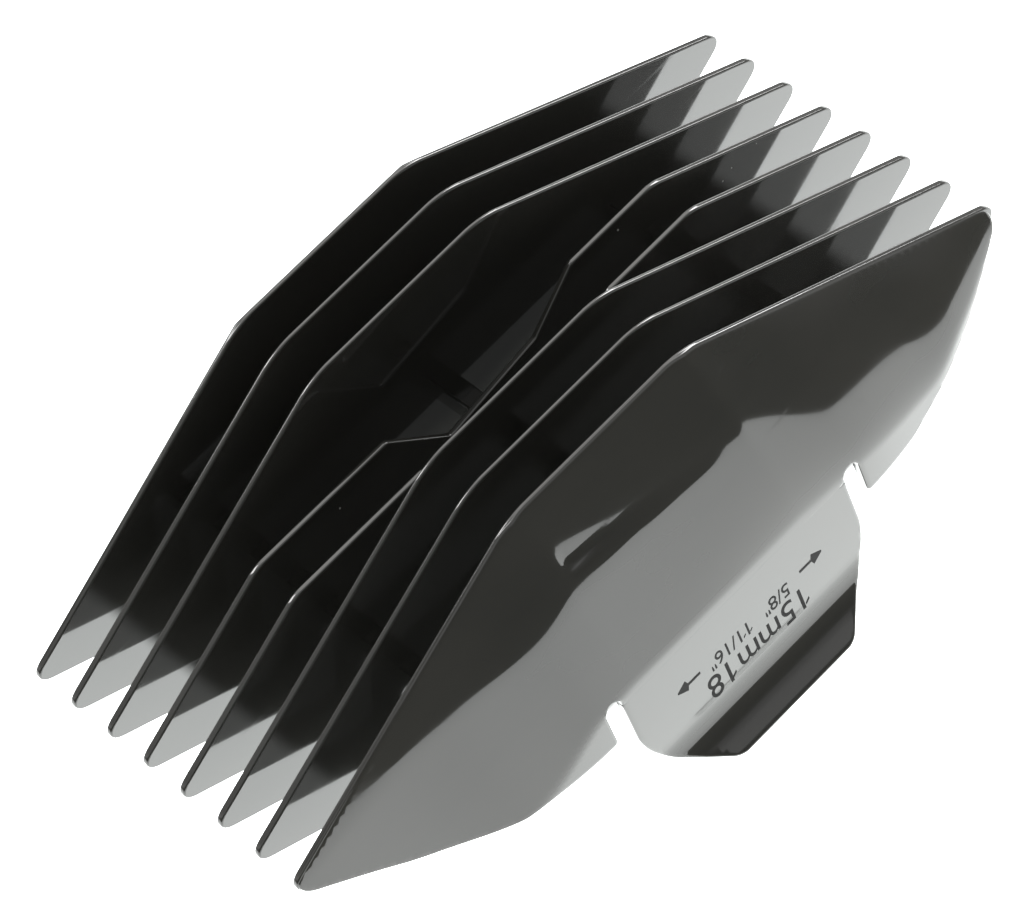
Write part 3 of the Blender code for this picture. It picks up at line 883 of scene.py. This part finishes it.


# The table's painted glow, a pool of light, falls off from the comb outwards
stretched = nodes.new("ShaderNodeMapping")
stretched.inputs["Scale"].default_value = (0.65, 1, 1)
away = nodes.new("ShaderNodeVectorMath")
away.operation = "LENGTH"
links.new(place.outputs["Object"], stretched.inputs["Vector"])
links.new(stretched.outputs["Vector"], away.inputs[0])
spread_out = sum_node("POWER", sum_node("DIVIDE", away.outputs["Value"], 0.042), 4)
glow = sum_node("ADD", sum_node("DIVIDE", 2.3, sum_node("ADD", spread_out, 1)), 1.9)

# The painted shade under the comb, dark in both the glow and the base colour, ends under the blades' noses,
# and sooner towards the near side
x = axes.outputs["X"]
y = axes.outputs["Y"]
pinch = sum_node("MULTIPLY", sum_node("MAXIMUM", sum_node("SUBTRACT", -0.009, y), 0), 1.5)
beyond_right = soft_edge(sum_node("ADD", x, pinch), 0.0400, 0.0425)
beyond_left = soft_edge(sum_node("SUBTRACT", pinch, x), 0.0320, 0.0342)
beyond_far = soft_edge(y, 0.030, 0.036)
beyond_near = soft_edge(sum_node("MULTIPLY", y, -1), 0.0165, 0.0182)
beyond_ends = sum_node("MAXIMUM", beyond_right, beyond_left)
lit = sum_node("MAXIMUM", beyond_ends, sum_node("MAXIMUM", beyond_far, beyond_near))
least = 0.03  # glow left in the shade
share_left = sum_node("ADD", sum_node("MULTIPLY", lit, 1 - least), least)
links.new(sum_node("MULTIPLY", glow, share_left), shader.inputs["Emission Strength"])
# Painted shade: the table's base colour goes near black under the comb
shade = nodes.new("ShaderNodeValToRGB")
shade.color_ramp.elements[0].color = (0.05, 0.05, 0.05, 1)
shade.color_ramp.elements[1].color = (0.8, 0.8, 0.8, 1)
links.new(lit, shade.inputs["Fac"])
links.new(shade.outputs["Color"], shader.inputs["Base Color"])
from_below = nodes.new("ShaderNodeNewGeometry")
clear = nodes.new("ShaderNodeBsdfTransparent")
two_sided = nodes.new("ShaderNodeMixShader")
links.new(from_below.outputs["Backfacing"], two_sided.inputs["Fac"])
links.new(shader.outputs["BSDF"], two_sided.inputs[1])
links.new(clear.outputs["BSDF"], two_sided.inputs[2])
links.new(two_sided.outputs["Shader"], nodes["Material Output"].inputs["Surface"])
table.data.materials.append(top)

world = bpy.data.worlds.new("room")
bpy.context.scene.world = world
world.use_nodes = True
nodes = world.node_tree.nodes
links = world.node_tree.links
room = nodes["Background"]
room.inputs["Strength"].default_value = 2.4
direction = nodes.new("ShaderNodeTexCoord")
facing = nodes.new("ShaderNodeVectorMath")
facing.operation = "DOT_PRODUCT"
facing.inputs[1].default_value = Vector((0.30, 0.57, 0.76)).normalized()
brightness = nodes.new("ShaderNodeValToRGB")
brightness.color_ramp.elements[0].position = 0.02
brightness.color_ramp.elements[0].color = (0.05, 0.05, 0.047, 1)
brightness.color_ramp.elements[1].position = 1.0
brightness.color_ramp.elements[1].color = (1, 1, 0.98, 1)
for position, level in ((0.16, 0.12), (0.28, 0.42), (0.60, 0.22), (0.80, 0.30), (0.93, 0.85)):
    stop = brightness.color_ramp.elements.new(position)
    stop.color = (level, level, level, 1)
backdrop = nodes.new("ShaderNodeBackground")
backdrop.inputs["Color"].default_value = (1, 1, 1, 1)
backdrop.inputs["Strength"].default_value = 1.0
rays = nodes.new("ShaderNodeLightPath")
seen = nodes.new("ShaderNodeMixShader")
links.new(direction.outputs["Generated"], facing.inputs[0])
links.new(facing.outputs["Value"], brightness.inputs["Fac"])
links.new(brightness.outputs["Color"], room.inputs["Color"])
links.new(rays.outputs["Is Camera Ray"], seen.inputs["Fac"])
links.new(room.outputs["Background"], seen.inputs[1])
links.new(backdrop.outputs["Background"], seen.inputs[2])
links.new(seen.outputs["Shader"], nodes["World Output"].inputs["Surface"])


def soft_lamp(name, towards, away_by, width, radiance):
    """A square soft box in a direction from the comb, facing it."""
    lamp = bpy.data.lights.new(name, "AREA")
    lamp.shape = "SQUARE"
    lamp.size = width
    lamp.energy = radiance * math.pi * width**2
    obj = bpy.data.objects.new(name, lamp)
    bpy.context.collection.objects.link(obj)
    line = Vector(towards).normalized()
    obj.location = line * away_by
    obj.rotation_euler = line.to_track_quat("Z", "Y").to_euler()
    return obj


soft_lamp("right window", (0.78, 0.37, 0.50), 0.9, 0.36, 14)
soft_lamp("left window", (-0.30, 0.65, 0.70), 0.9, 0.28, 10)

# Camera: from the near left, steeply down, rolled so that the comb lies across the frame
camera_data = bpy.data.cameras.new("camera")
camera_data.sensor_width = 36
camera_data.lens = 175.8
camera_data.clip_start = 0.01
camera = bpy.data.objects.new("camera", camera_data)
bpy.context.collection.objects.link(camera)
aim = Vector((-0.0016, -0.0011, 0.0184))
distance = 0.474
azimuth = math.radians(-23.22)
elevation = math.radians(51.77)
roll = math.radians(-25.83)
level = math.cos(elevation)
back = Vector((math.sin(azimuth) * level, -math.cos(azimuth) * level, math.sin(elevation)))
camera.location = aim + back * distance
camera.rotation_mode = "QUATERNION"
camera.rotation_quaternion = Matrix.Rotation(roll, 3, back).to_quaternion() @ (-back).to_track_quat("-Z", "Y")
bpy.context.scene.camera = camera
bpy.context.scene.view_settings.view_transform = "Standard"
